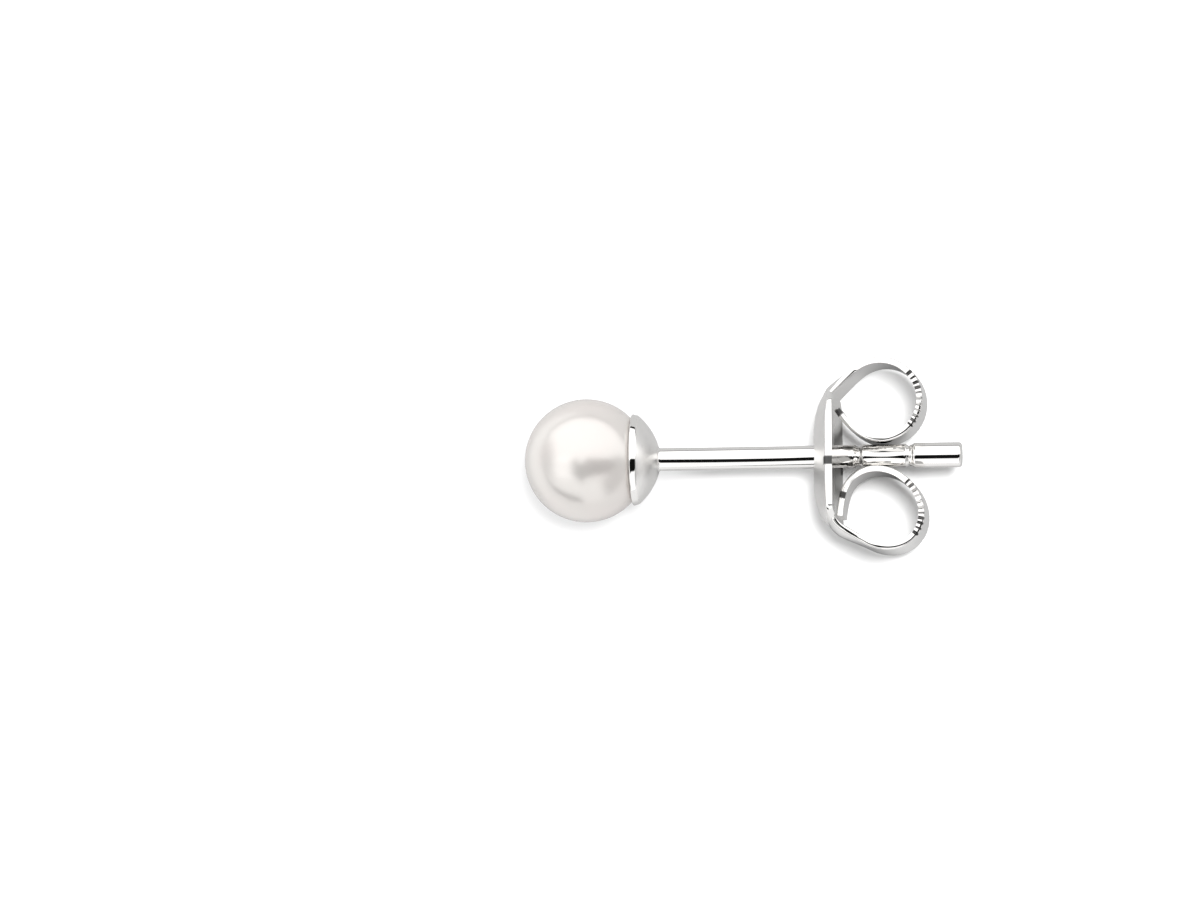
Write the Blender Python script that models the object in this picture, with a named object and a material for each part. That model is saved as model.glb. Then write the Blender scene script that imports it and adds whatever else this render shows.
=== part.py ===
"""Pearl stud earring with a butterfly clutch, lying on a flat surface. Metres, +Z up.

The stud frame has its origin at the pearl's centre and +X along the post, from the pearl to
the post's tip. The scroll loops of the clutch open along Z. An empty then lays the whole stud
down, so that the pearl and one long edge of the clutch's plate touch the surface at z = 0.
"""

import math
from collections import namedtuple

import bmesh
import bpy
from mathutils import Vector

# Pearl
PEARL_DIAMETER = 0.0040
PEARL_STEPS = 44

# Cup, peg and post, one soldered piece of silver
GLUE_GAP = 0.00003
CUP_DIAMETER = 0.00296
CUP_LIP = 0.00012
LIP_ROUNDING = 0.000036
CUP_BAND = 0.00020
CUP_BAND_TAPER = 0.00004
CUP_CROWN = 0.000085
CUP_BACK_WALL = 0.00032
SOLDER_FILLET = 0.00008
PEG_DIAMETER = 0.00062
PEG_LENGTH = 0.0021
POST_DIAMETER = 0.00074
POST_LENGTH = 0.0099
TAIL_SWELL = 0.00004
TIP_ROUNDING = 0.00010
GROOVE_SPACING = 0.00168
GROOVE_WIDTH = 0.00038
GROOVE_DEPTH = 0.00006
GROOVE_COUNT = 2
POST_STEPS = 32
SEAT_STEPS = 8
DOME_STEPS = 10
ROUNDING_STEPS = 3

# Butterfly clutch, one stamped and rolled strip of sheet
SHEET = 0.00020
CLUTCH_FROM_TIP = 0.00418
PLATE_WIDTH = 0.0040
PLATE_LENGTH = 0.0041
DOME_HEIGHT = 0.00054
HOLE_CLEARANCE = 0.00002
DIMPLE_RIM = 0.00022
DIMPLE_DEPTH = 0.00014
FOLD_RADIUS = 0.00080
LOOP_DIAMETER = 0.00256
LOOP_STANDOFF = 0.00034
GRIP_CLEARANCE = 0.000015
NOTCH_PITCH = 0.000185
NOTCH_WIDTH = 0.00010
NOTCH_DEPTH = 0.00009
NOTCH_COUNT = 11

# The two wings, from the plate's middle outwards. side is the side of the post in Y. fold is
# the fold's distance from the post's axis as a share of PLATE_LENGTH, bend its radius as a
# share of FOLD_RADIUS, and loop the scroll's size as a share of LOOP_DIAMETER. lean is how far
# the scroll leans along the post for each unit of distance from it, and camber what is left of
# the dome at the fold. roll is how much of SHEET the outer corners lose at the fold. The scroll
# lets go of its circle at the heading release, in degrees from +X, and runs on for back_run, a
# share of LOOP_DIAMETER, turning by back_turn.
Wing = namedtuple("Wing", "side fold bend loop lean camber roll release back_run back_turn")
WINGS = (
    Wing(
        side=1, fold=0.485, bend=0.19, loop=0.995, lean=0.0,
        camber=0.32, roll=0.60, release=145, back_run=0.41, back_turn=25,
    ),
    Wing(
        side=-1, fold=0.534, bend=1.00, loop=1.005, lean=0.15,
        camber=0.35, roll=0.15, release=114, back_run=0.31, back_turn=12,
    ),
)

# Widths of the strip. station is 0 at the plate's middle, 1 at the fold and 2 at the tip, and
# width a share of PLATE_WIDTH. Each long side is straight and ends in two feet that stand a hair
# proud, so that the plate rests on its four corners and doesn't rock.
FOOT_STATION = 0.8
Section = namedtuple("Section", "station width")
SECTIONS = (
    Section(station=0.0, width=0.999),
    Section(station=FOOT_STATION - 0.08, width=0.999),
    Section(station=FOOT_STATION, width=1.0),
    Section(station=1.14, width=0.62),
    Section(station=1.4, width=0.52),
    Section(station=1.7, width=0.49),
    Section(station=2.0, width=0.42),
)

# Columns of points across the strip, as shares of its half width, closest at the dimple.
COLUMNS = (-1.0, -0.76, -0.52, -0.34, -0.19, 0.0, 0.19, 0.34, 0.52, 0.76, 1.0)
CAMBER_RUN = 0.22
ROLL_START = 0.55
ROLL_END = 1.08
DOME_FLATNESS = 4
PLATE_STEPS = 8
FOLD_STEPS = 3
STRAIGHT_STEPS = 2
RETURN_STEPS = 5
BEND_STEP = math.radians(9)

# Worked out from the sizes above
PEARL_RADIUS = PEARL_DIAMETER / 2
POST_RADIUS = POST_DIAMETER / 2
TAIL_RADIUS = POST_RADIUS + TAIL_SWELL
PEG_RADIUS = PEG_DIAMETER / 2
SEAT_RADIUS = PEARL_RADIUS + GLUE_GAP
CUP_BACK = SEAT_RADIUS + CUP_BACK_WALL
POST_TIP = CUP_BACK + POST_LENGTH
PLATE_X = POST_TIP - CLUTCH_FROM_TIP
HOLE_RADIUS = TAIL_RADIUS + HOLE_CLEARANCE

# A point of the strip's middle line in the plane of the scrolls: u from the plate's edges along
# the post, v out from the post's axis, the heading of the line, the length run so far, the part
# of it up to the fold, and the depth of the grip notch in the strip's two edges there.
Point = namedtuple("Point", "u v heading run fold_run notch")


def clear_scene():
    """Remove every object that the scene starts with."""
    for obj in list(bpy.data.objects):
        bpy.data.objects.remove(obj)


def material(name, colour, roughness, metallic):
    """A plain Principled material."""
    made = bpy.data.materials.new(name)
    made.use_nodes = True
    shader = made.node_tree.nodes["Principled BSDF"]
    shader.inputs["Base Color"].default_value = (*colour, 1.0)
    shader.inputs["Roughness"].default_value = roughness
    shader.inputs["Metallic"].default_value = metallic
    return made


def add_object(name, mesh_data, finish):
    """Link a bmesh to the scene as an object of that name and free it."""
    bmesh.ops.recalc_face_normals(mesh_data, faces=mesh_data.faces)
    mesh = bpy.data.meshes.new(name)
    mesh_data.to_mesh(mesh)
    mesh_data.free()
    mesh.materials.append(finish)
    mesh.shade_smooth()
    mesh.set_sharp_from_angle(angle=math.radians(35))
    obj = bpy.data.objects.new(name, mesh)
    bpy.context.scene.collection.objects.link(obj)
    return obj


def turned(profile, steps):
    """A solid of revolution about X. The profile is (x, radius) points from axis to axis."""
    solid = bmesh.new()
    corners = [solid.verts.new((x, 0.0, radius)) for x, radius in profile]
    edges = [solid.edges.new(pair) for pair in zip(corners, corners[1:])]
    bmesh.ops.spin(
        solid,
        geom=corners + edges,
        cent=(0, 0, 0),
        axis=(1, 0, 0),
        angle=math.tau,
        steps=steps,
        use_merge=True,
    )
    bmesh.ops.remove_doubles(solid, verts=solid.verts, dist=1e-7)
    return solid


def arc(centre, radius, start, end, steps):
    """Points of a circle in the (x, radius) plane, angles in radians from +X."""
    angles = (start + (end - start) * i / steps for i in range(steps + 1))
    return [(centre[0] + radius * math.cos(a), centre[1] + radius * math.sin(a)) for a in angles]


def bowed(start, end, crown, steps):
    """Points of the arc from start to end that rises by crown over the straight line."""
    start, end = Vector(start), Vector(end)
    chord = end - start
    side = Vector((-chord.y, chord.x)).normalized()
    radius = (chord.length_squared / 4 + crown * crown) / (2 * crown)
    centre = (start + end) / 2 - side * (radius - crown)
    half = math.asin(chord.length / 2 / radius)
    middle = math.atan2(side.y, side.x)
    return arc(centre, radius, middle + half, middle - half, steps)


def pearl_profile():
    """The pearl's outline, half drilled from the back for the peg."""
    hole = PEG_RADIUS + GLUE_GAP
    mouth = math.asin(hole / PEARL_RADIUS)
    bottom = SEAT_RADIUS - PEG_LENGTH - GLUE_GAP
    quarter = PEARL_STEPS // 4
    front = arc((0, 0), PEARL_RADIUS, math.pi, math.pi / 2, quarter)[1:]
    back = arc((0, 0), PEARL_RADIUS, math.pi / 2, mouth, quarter)[1:]
    return [(-PEARL_RADIUS, 0.0)] + front + back + [(bottom, hole), (bottom - hole / 2, 0.0)]


def cup_profile():
    """The peg and the cup, from the peg's end to the back of the cup at the post."""
    peg_end = SEAT_RADIUS - PEG_LENGTH
    floor = math.asin(PEG_RADIUS / SEAT_RADIUS)
    cup_radius = CUP_DIAMETER / 2
    lip = math.asin((cup_radius - CUP_LIP) / SEAT_RADIUS)
    rim = SEAT_RADIUS * math.cos(lip)
    round_off = min(LIP_ROUNDING, CUP_LIP / 2)
    shoulder = (rim + CUP_BAND, cup_radius - CUP_BAND_TAPER)
    root = (CUP_BACK, POST_RADIUS + SOLDER_FILLET)
    fillet = (CUP_BACK + SOLDER_FILLET, POST_RADIUS + SOLDER_FILLET)
    return (
        [(peg_end, 0.0), (peg_end, PEG_RADIUS)]
        + arc((0, 0), SEAT_RADIUS, floor, lip, SEAT_STEPS)
        + arc((rim + round_off, cup_radius - round_off), round_off, math.pi, math.pi / 2, ROUNDING_STEPS)
        + bowed(shoulder, root, CUP_CROWN, DOME_STEPS)
        + arc(fillet, SOLDER_FILLET, math.pi, 1.5 * math.pi, ROUNDING_STEPS)[1:]
    )


def groove_profile(centre, before, behind):
    """One friction groove rolled round the post, between two radii of the post."""
    shares = (-0.5, -0.27, -0.12, 0.12, 0.27, 0.5)
    depths = (0.0, 0.5, 1.0, 1.0, 0.5, 0.0)
    return [
        (centre + GROOVE_WIDTH * share, (before if share < 0 else behind) - GROOVE_DEPTH * depth)
        for share, depth in zip(shares, depths)
    ]


def post_profile():
    """The post behind the cup: its friction grooves, then the thicker tail and its rounded tip."""
    points = []
    for number in range(GROOVE_COUNT, 0, -1):
        behind = POST_RADIUS if number > 1 else TAIL_RADIUS
        points += groove_profile(POST_TIP - GROOVE_SPACING * number, POST_RADIUS, behind)
    rounding = (POST_TIP - TIP_ROUNDING, TAIL_RADIUS - TIP_ROUNDING)
    return points + arc(rounding, TIP_ROUNDING, math.pi / 2, 0, ROUNDING_STEPS) + [(POST_TIP, 0.0)]


def bent(start, length, turn, steps):
    """The points that follow start along a straight or an evenly bent run, turning clockwise."""
    points = []
    for i in range(1, steps + 1):
        run = length * i / steps
        angle = turn * i / steps
        chord = run if not turn else 2 * length / turn * math.sin(angle / 2)
        along = start.heading - angle / 2
        points.append(
            start._replace(
                u=start.u + chord * math.cos(along),
                v=start.v + chord * math.sin(along),
                heading=start.heading - angle,
                run=start.run + run,
            )
        )
    return points


def steps_for(turn):
    """How many pieces a bend takes."""
    return max(2, math.ceil(turn / BEND_STEP))


def scroll(start, radius, turn):
    """The scroll's circle from start, with grip notches in its edges at the back."""
    depths = {turn * i / steps_for(turn): 0.0 for i in range(1, steps_for(turn) + 1)}
    back = start.heading + math.pi / 2
    pitch = NOTCH_PITCH / radius
    half = NOTCH_WIDTH / radius / 2
    first = back - pitch * (NOTCH_COUNT - 1) / 2
    last = back + pitch * (NOTCH_COUNT - 1) / 2
    depths = {angle: 0.0 for angle in depths if not first - pitch < angle < last + pitch}
    for number in range(NOTCH_COUNT):
        middle = first + pitch * number
        depths.update({middle - half: 0.0, middle: NOTCH_DEPTH, middle + half: 0.0})
    points = []
    for angle, depth in sorted(depths.items()):
        points += [p._replace(notch=depth) for p in bent(start, radius * angle, angle, 1)]
    return points


def leant(point, lean, middle):
    """The point after its scroll leans along the post, about the scroll's middle."""
    across = math.sin(point.heading)
    along = math.cos(point.heading) + lean * across
    return point._replace(u=point.u + lean * (point.v - middle), heading=math.atan2(across, along))


def wing_points(wing):
    """The middle line of one wing, from the plate's middle round to the tip of its scroll."""
    radius = wing.loop * LOOP_DIAMETER / 2
    centre = Vector((LOOP_STANDOFF + radius, POST_RADIUS + GRIP_CLEARANCE + SHEET / 2 + radius))
    fold = Vector((0.0, wing.fold * PLATE_LENGTH))

    # The line that touches the scroll, found before the scroll leans and then leant with it.
    upright = Vector((-wing.lean * (fold.y - centre.y), fold.y))
    across = centre - upright
    touching = math.atan2(across.y, across.x) + math.asin(radius / across.length)
    reach = math.sqrt(across.length_squared - radius * radius)
    touch = upright + reach * Vector((math.cos(touching), math.sin(touching)))
    onward = Vector((touch.x + wing.lean * (touch.y - centre.y), touch.y)) - fold
    leaving = math.atan2(onward.y, onward.x)

    turn = math.pi / 2 - leaving
    bend = wing.bend * FOLD_RADIUS
    trim = bend * math.tan(turn / 2)
    middle = Point(0.0, 0.0, math.pi / 2, 0.0, fold.y - trim + bend * turn / 2, 0.0)
    points = [middle]
    foot = FOOT_STATION * middle.fold_run
    points += bent(points[-1], foot, 0.0, PLATE_STEPS)
    points += bent(points[-1], fold.y - trim - foot, 0.0, FOLD_STEPS)
    points += bent(points[-1], bend * turn, turn, steps_for(turn))
    points += bent(points[-1], onward.length - trim, 0.0, STRAIGHT_STEPS)

    start = points[-1]._replace(u=touch.x, v=touch.y, heading=touching)
    rolled = scroll(start, radius, touching + math.tau - math.radians(wing.release))
    back_turn = math.radians(wing.back_turn)
    rolled += bent(rolled[-1], wing.back_run * LOOP_DIAMETER, back_turn, RETURN_STEPS)
    return points + [leant(point, wing.lean, centre.y) for point in rolled]


def eased(share):
    """A smooth step from 0 to 1."""
    share = min(1.0, max(0.0, share))
    return share * share * (3 - 2 * share)


def station_of(point, tip_run):
    """0 at the plate's middle, 1 at the fold, 2 at the tip."""
    if point.run < point.fold_run:
        return point.run / point.fold_run
    return 1 + (point.run - point.fold_run) / (tip_run - point.fold_run)


def width_at(station):
    """The strip's width, eased from one row of the table to the next."""
    for low, high in zip(SECTIONS, SECTIONS[1:]):
        if station <= high.station:
            share = eased((station - low.station) / (high.station - low.station))
            return PLATE_WIDTH * (low.width + (high.width - low.width) * share)
    return PLATE_WIDTH * SECTIONS[-1].width


def dome_at(station, camber):
    """How far the strip's middle stands out in front of its edges."""
    if station < 1:
        return DOME_HEIGHT * (camber + (1 - camber) * (1 - station**DOME_FLATNESS))
    return DOME_HEIGHT * camber * (1 - eased((station - 1) / CAMBER_RUN))


def rolled_at(station, roll):
    """How much the strip's outer corners are rolled off, most at the fold."""
    if station < 1:
        return SHEET * roll * eased((station - ROLL_START) / (1 - ROLL_START))
    return SHEET * roll * (1 - eased((station - 1) / (ROLL_END - 1)))


def dimple_at(radius):
    """How deep the funnel round the post's hole is pressed at this distance from the axis."""
    return DIMPLE_DEPTH * (1 - eased((radius - HOLE_RADIUS) / DIMPLE_RIM))


def ring(point, wing, tip_run):
    """The closed outline of the strip across one point: outer side, then inner side."""
    station = station_of(point, tip_run)
    half = width_at(station) / 2
    dome = dome_at(station, wing.camber)
    normal = Vector((-math.sin(point.heading), wing.side * math.cos(point.heading), 0.0))
    base = Vector((point.u, wing.side * point.v, 0.0))
    outer, inner = [], []
    for share in COLUMNS:
        slope = 2 * dome * share / half
        wall = SHEET / 2 * math.hypot(1, slope)
        height = dome * (1 - share * share)
        if station < 1:
            height -= dimple_at(math.hypot(point.v, half * share))
        edge = abs(share) == 1
        reach = half - point.notch if edge else half
        rolled = rolled_at(station, wing.roll) if edge else 0.0
        place = base + Vector((0, 0, reach * share))
        outer.append(place + normal * (height + wall - rolled))
        inner.append(place + normal * (height - wall))
    return outer + inner[::-1]


def rings_of(wing):
    """The outlines along one wing, from the plate's middle to the tip."""
    points = wing_points(wing)
    return [ring(point, wing, points[-1].run) for point in points]


def strip_solid():
    """The whole strip, from the tip of one scroll over the plate to the other."""
    upper, lower = (rings_of(wing) for wing in WINGS)
    solid = bmesh.new()
    rows = [[solid.verts.new(p) for p in points] for points in lower[:0:-1] + upper]
    size = len(rows[0])
    for low, high in zip(rows, rows[1:]):
        for i in range(size):
            j = (i + 1) % size
            solid.faces.new((low[i], low[j], high[j], high[i]))
    for row in (rows[0], rows[-1]):
        for i in range(len(COLUMNS) - 1):
            solid.faces.new((row[i], row[i + 1], row[size - 2 - i], row[size - 1 - i]))
    return solid


def make_pearl(nacre):
    """The pearl, drilled half through."""
    return add_object("pearl", turned(pearl_profile(), PEARL_STEPS), nacre)


def make_cup_and_post(silver):
    """The peg, cup and post, soldered into one piece."""
    return add_object("cup_and_post", turned(cup_profile() + post_profile(), POST_STEPS), silver)


def make_clutch(silver):
    """The butterfly clutch, with its hole cut for the post. Its origin is on the post's axis."""
    clutch = add_object("butterfly_clutch", strip_solid(), silver)
    clutch.location.x = PLATE_X
    front, back = -2 * (DOME_HEIGHT + SHEET), 2 * SHEET
    outline = ((front, 0.0), (front, HOLE_RADIUS), (back, HOLE_RADIUS), (back, 0.0))
    cutter = add_object("hole_cutter", turned(outline, POST_STEPS), silver)
    cutter.location.x = PLATE_X
    cutter.hide_render = True
    cutter.display_type = "WIRE"
    hole = clutch.modifiers.new("post_hole", "BOOLEAN")
    hole.operation = "DIFFERENCE"
    hole.object = cutter
    return clutch, cutter


def world_points(pieces):
    """Every point of the finished pieces, in world space."""
    bpy.context.view_layer.update()
    graph = bpy.context.evaluated_depsgraph_get()
    points = []
    for piece in pieces:
        final = piece.evaluated_get(graph)
        points += [final.matrix_world @ vert.co for vert in final.data.vertices]
    return points


def lay_down(pieces, helpers):
    """Rest the stud on z = 0, on its pearl and its clutch, with its box centred on the origin."""
    half = PLATE_WIDTH / 2
    reach = math.hypot(PLATE_X, half)
    tilt = math.asin(PEARL_RADIUS / reach) - math.asin(half / reach)
    lying = bpy.data.objects.new("lying_stud", None)
    bpy.context.scene.collection.objects.link(lying)
    lying.rotation_euler.y = tilt
    for piece in (*pieces, *helpers):
        piece.parent = lying
    points = world_points(pieces)
    low = Vector(min(p[i] for p in points) for i in range(3))
    high = Vector(max(p[i] for p in points) for i in range(3))
    lying.location = (-(low.x + high.x) / 2, -(low.y + high.y) / 2, -low.z)


def main():
    clear_scene()
    nacre = material("nacre", (0.86, 0.83, 0.80), 0.22, 0.0)
    silver = material("polished_silver", (0.90, 0.89, 0.88), 0.07, 1.0)
    pearl = make_pearl(nacre)
    setting = make_cup_and_post(silver)
    clutch, cutter = make_clutch(silver)
    lay_down((pearl, setting, clutch), (cutter,))


main()
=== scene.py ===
"""Pearl stud earring: a half drilled pearl, its silver cup and post, and a butterfly clutch.

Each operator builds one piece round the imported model, in metres. A piece is made in the stud
frame, with its origin at the pearl's centre and +X along the post, and is then set in place.
"""

import math
from collections import namedtuple

import bmesh
import bpy
from bpy.props import FloatProperty, FloatVectorProperty, IntProperty, PointerProperty
from bpy.types import Operator, Panel, PropertyGroup
from mathutils import Matrix, Vector


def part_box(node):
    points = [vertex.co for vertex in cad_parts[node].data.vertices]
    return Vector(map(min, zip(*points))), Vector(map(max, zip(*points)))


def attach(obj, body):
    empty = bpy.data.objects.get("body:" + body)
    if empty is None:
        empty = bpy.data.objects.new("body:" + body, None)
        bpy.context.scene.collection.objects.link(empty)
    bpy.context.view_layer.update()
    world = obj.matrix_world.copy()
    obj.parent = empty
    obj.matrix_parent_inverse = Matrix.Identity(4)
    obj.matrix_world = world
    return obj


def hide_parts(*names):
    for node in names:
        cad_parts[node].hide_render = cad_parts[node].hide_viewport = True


bl_info = {
    "name": "Pearl stud earring",
    "version": (1, 0, 0),
    "blender": (4, 5, 0),
    "location": "View3D > Sidebar > Earring",
    "description": "Builds a pearl stud with its cup, post and butterfly clutch",
    "category": "Object",
}

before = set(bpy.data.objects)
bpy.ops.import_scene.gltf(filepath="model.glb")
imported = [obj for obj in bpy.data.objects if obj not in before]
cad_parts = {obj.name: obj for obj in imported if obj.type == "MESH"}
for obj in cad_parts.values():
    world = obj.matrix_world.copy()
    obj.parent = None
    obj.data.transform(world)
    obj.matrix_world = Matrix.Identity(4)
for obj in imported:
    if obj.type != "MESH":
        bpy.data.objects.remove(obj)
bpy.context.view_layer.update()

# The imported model's own places and sizes
pearl_low, pearl_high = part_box("pearl")
tip_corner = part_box("cup_and_post")[1]
clutch_low, clutch_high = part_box("butterfly_clutch")
PEARL_DIAMETER = pearl_high.y - pearl_low.y
PLATE_WIDTH = clutch_high.z - clutch_low.z
PEARL_CENTRE = Vector(
    (pearl_low.x + PEARL_DIAMETER / 2, (pearl_low.y + pearl_high.y) / 2, (pearl_low.z + pearl_high.z) / 2)
)
POST_TIP = tip_corner.x - PEARL_CENTRE.x

# How finely the pieces are cut
PEARL_STEPS = 128
TURN_STEPS = 96
SMALL_ARC = 6
SEAT_STEPS = 10
DOME_STEPS = 28
PLATE_STEPS = 18
FOLD_STEPS = 8
STRAIGHT_STEPS = 6
RETURN_STEPS = 14
BEND_STEP = math.radians(3)
EDGE_STEPS = 12

# Where along the strip its feet are: 0 is the plate's middle and 1 the fold
FOOT_STATION = 0.8

# Points that a cut leaves closer together than this are doubles
CUT_WELD = 0.0000002

# Points of a turned solid that are closer together than this are one
AXIS_WELD = 1e-8

# Edges where the surface turns by more than this look sharp
SHARP_ANGLE = math.radians(40)

# Nacre: blobs to the metre, and what each kind of blob changes
CLOUDS = 420.0
CLOUD_EDGES = (0.35, 0.7)
TERRACES = 2600.0
TERRACE_SATIN = 0.04
SKIN = 900.0
SKIN_HEIGHT = 0.000002
SKIN_STRENGTH = 0.5
COAT = 0.5
COAT_STRAY = 0.1
COAT_SATIN = 0.2
NACRE_IOR = 1.6

# Silver: blobs to the metre, and what each kind of blob changes
DRAWN = 9000.0
DRAWN_EDGES = (0.4, 0.9)
DRAWN_SATIN = 0.05
SMEARS = 900.0
SMEAR_TINT_EDGES = (0.45, 0.8)
SMEAR_TINT = 0.955
SMEAR_SATIN_EDGES = (0.5, 0.9)
SMEAR_SATIN = 0.04
WAVES = 700.0
# Painted shade in the grip notches and painted dark reflections on the strip's edges: the share of the tint
# they darken to, where the darkening starts and ends, and the roughness they add
PAINTED_DARK_TINT = 0.10
PAINTED_DARK_EDGES = (0.15, 0.9)
PAINTED_DARK_SATIN = 0.3

# A stretch under 1 draws the marks out along that axis, and a ripple is how high they stand
POST_STRETCH = (0.05, 1.0, 1.0)
POST_RIPPLE = 0.0000006
CLUTCH_STRETCH = (1.0, 1.0, 0.12)
CLUTCH_RIPPLE = 0.0000012

# Satin on the cup's back, and on the plate's front as far as a share of the dome
CUP_SATIN = 0.28
PLATE_SATIN = 0.30
PLATE_SATIN_END = 0.74
PLATE_SATIN_FADE = 0.1

# Shares of the light that the surface gives back: to the camera, and to every other ray near the
# stud, below it in Y and beyond the pearl. What every other ray sees is a darker copy of the
# surface, darkest near the stud: painted shade that the metal and the pearl reflect. A pair is
# where a change starts and where it ends.
SEEN_GREY = 0.70
NEAR_GREY = 0.25
BELOW_GREY = 0.36
BEYOND_GREY = 0.38
BELOW = (0.0022, 0.0045)
BEYOND = (0.0100, 0.0120)
WHITE = (1.0, 1.0, 1.0, 1.0)

# The light tent by its angle round the post, in degrees from overhead toward +Y, and by the share
# of a direction that lies along the post. A pair is where a fade starts and where it ends. The
# fill panel begins FILL_FROM degrees before overhead, and FILL_LEFT degrees nearer to it on the
# left. The dark gap moves by GAP_SHIFT at each end, and GAP_SPAN has its two sides and their fade.
KEY_START = (-14.0, -10.0)
KEY_END = (81.0, 86.0)
FILL_FROM = 92.0
FILL_LEFT = 18.0
FILL_START = (-4.0, 0.0)
FILL_END = (-48.0, -43.0)
FILL_LIGHT = 0.8
GAP_SHIFT = 10.0
GAP_RIGHT = (-0.08, 0.12)
GAP_LEFT = (0.11, 0.24)
GAP_SPAN = (-46.0, -12.0, 4.0)
GAP_CLOSED = (0.22, 0.5)
LEFT_SIDE = (-0.05, 0.25)
HIGH = (4.0, 20.0)
LOW = (-50.0, -30.0)
LOW_REACH = 0.35
TENT_END = (0.75, 0.95)
RIGHT_END_LIGHT = 0.33
LEFT_END_LIGHT = 0.35
TENT_FLOOR = 0.006

# The camera's sensor in millimetres, and how many times nearer than the stud its view starts
SENSOR_WIDTH = 36.0
CLIP_PARTS = 100


# Settings that a user would change


def length(name, description, default):
    """A length in metres that the sidebar shows in the scene's unit."""
    return FloatProperty(
        name=name,
        description=description,
        default=default,
        min=0.0,
        precision=6,
        subtype="DISTANCE",
        unit="LENGTH",
    )


def share(name, description, default):
    """A plain number from 0 to 1."""
    return FloatProperty(
        name=name, description=description, default=default, min=0.0, max=1.0, subtype="FACTOR"
    )


def rotation(name, description, default):
    """An angle that the sidebar shows in degrees."""
    return FloatProperty(
        name=name, description=description, default=default, subtype="ANGLE", unit="ROTATION"
    )


def colour(name, description, default):
    """A colour that the sidebar shows as a swatch."""
    return FloatVectorProperty(
        name=name, description=description, default=default, size=3, min=0.0, max=1.0, subtype="COLOR"
    )


class PearlSettings(PropertyGroup):
    """Size and colours of the pearl."""

    diameter: length("Diameter", "Across the pearl", PEARL_DIAMETER)
    hole: length("Hole", "Diameter of the hole drilled for the peg", 0.00068)
    hole_depth: length("Hole depth", "How far the hole goes in from the pearl's surface", 0.00213)
    body: colour("Body", "Colour of most of the nacre", (0.862, 0.828, 0.795))
    overtone: colour("Overtone", "Warm tint that comes and goes over the nacre", (0.875, 0.818, 0.788))
    satin: share("Satin", "Roughness of the nacre under its clear skin", 0.26)
    lustre: share("Lustre", "How much the layers of nacre shine like a mirror", 0.36)


class SettingSettings(PropertyGroup):
    """Sizes of the cup, peg and post, soldered into one piece."""

    glue_gap: length("Glue gap", "Room for glue between the pearl and the cup", 0.00003)
    cup: length("Cup", "Diameter of the cup", 0.00296)
    lip: length("Lip", "Thickness of the cup's lip", 0.00012)
    band: length("Band", "Width of the straight band behind the lip", 0.00020)
    band_taper: length("Band taper", "How much the band narrows in radius", 0.00004)
    crown: length("Crown", "How far the cup's back bulges", 0.000085)
    back_wall: length("Back wall", "Silver between the pearl and the post", 0.00032)
    fillet: length("Fillet", "Radius of the solder where the post meets the cup", 0.00008)
    peg: length("Peg", "Diameter of the peg inside the pearl", 0.00062)
    peg_length: length("Peg length", "Length of the peg", 0.0021)
    post: length("Post", "Diameter of the post", 0.00074)
    tail_swell: length("Tail swell", "How much the tail stands out in radius", 0.00004)
    tip_rounding: length("Tip rounding", "Radius of the tip's edge", 0.00010)
    groove_spacing: length("Groove spacing", "From groove to groove, and from the last to the tip", 0.00168)
    groove_width: length("Groove width", "Width of a friction groove", 0.00038)
    groove_depth: length("Groove depth", "Depth of a friction groove", 0.00006)
    grooves: IntProperty(name="Grooves", description="Number of friction grooves", default=2, min=0, max=3)


class ClutchSettings(PropertyGroup):
    """Sizes of the clutch, one stamped and rolled strip of sheet silver."""

    sheet: length("Sheet", "Thickness of the strip", 0.00020)
    from_tip: length("From tip", "From the post's tip to the plate", 0.00418)
    plate_width: length("Plate width", "Across the strip at the plate", PLATE_WIDTH)
    plate_length: length("Plate length", "About from fold to fold", 0.0041)
    dome: length("Dome", "How far the plate's middle stands out in front of its edges", 0.00054)
    hole: length("Hole", "Diameter of the post's hole", 0.00086)
    dimple_rim: length("Dimple rim", "How far the pressed funnel reaches round the hole", 0.00022)
    dimple_depth: length("Dimple depth", "How deep the funnel is pressed", 0.00014)
    fold_radius: length("Fold radius", "Radius of the wider fold", 0.00080)
    loop: length("Loop", "Diameter of a scroll along its middle line", 0.00256)
    loop_standoff: length("Loop standoff", "From the plate's edges to a scroll", 0.00034)
    grip: length("Grip", "Room between a scroll and the post", 0.000015)
    notch_pitch: length("Notch pitch", "From grip notch to grip notch", 0.000185)
    notch_width: length("Notch width", "Width of a grip notch", 0.00010)
    notch_depth: length("Notch depth", "Depth of a grip notch", 0.00009)
    notches: IntProperty(
        name="Notches", description="Grip notches at the back of a scroll", default=11, min=1
    )
    edge_crown: length("Edge crown", "How far the strip's tumbled edges bulge", 0.000065)


class SilverSettings(PropertyGroup):
    """Finish of the plated silver."""

    tint: colour("Tint", "Colour of the polished metal", (0.93, 0.92, 0.905))
    polish: share("Polish", "Roughness where the polish is best", 0.03)


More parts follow.
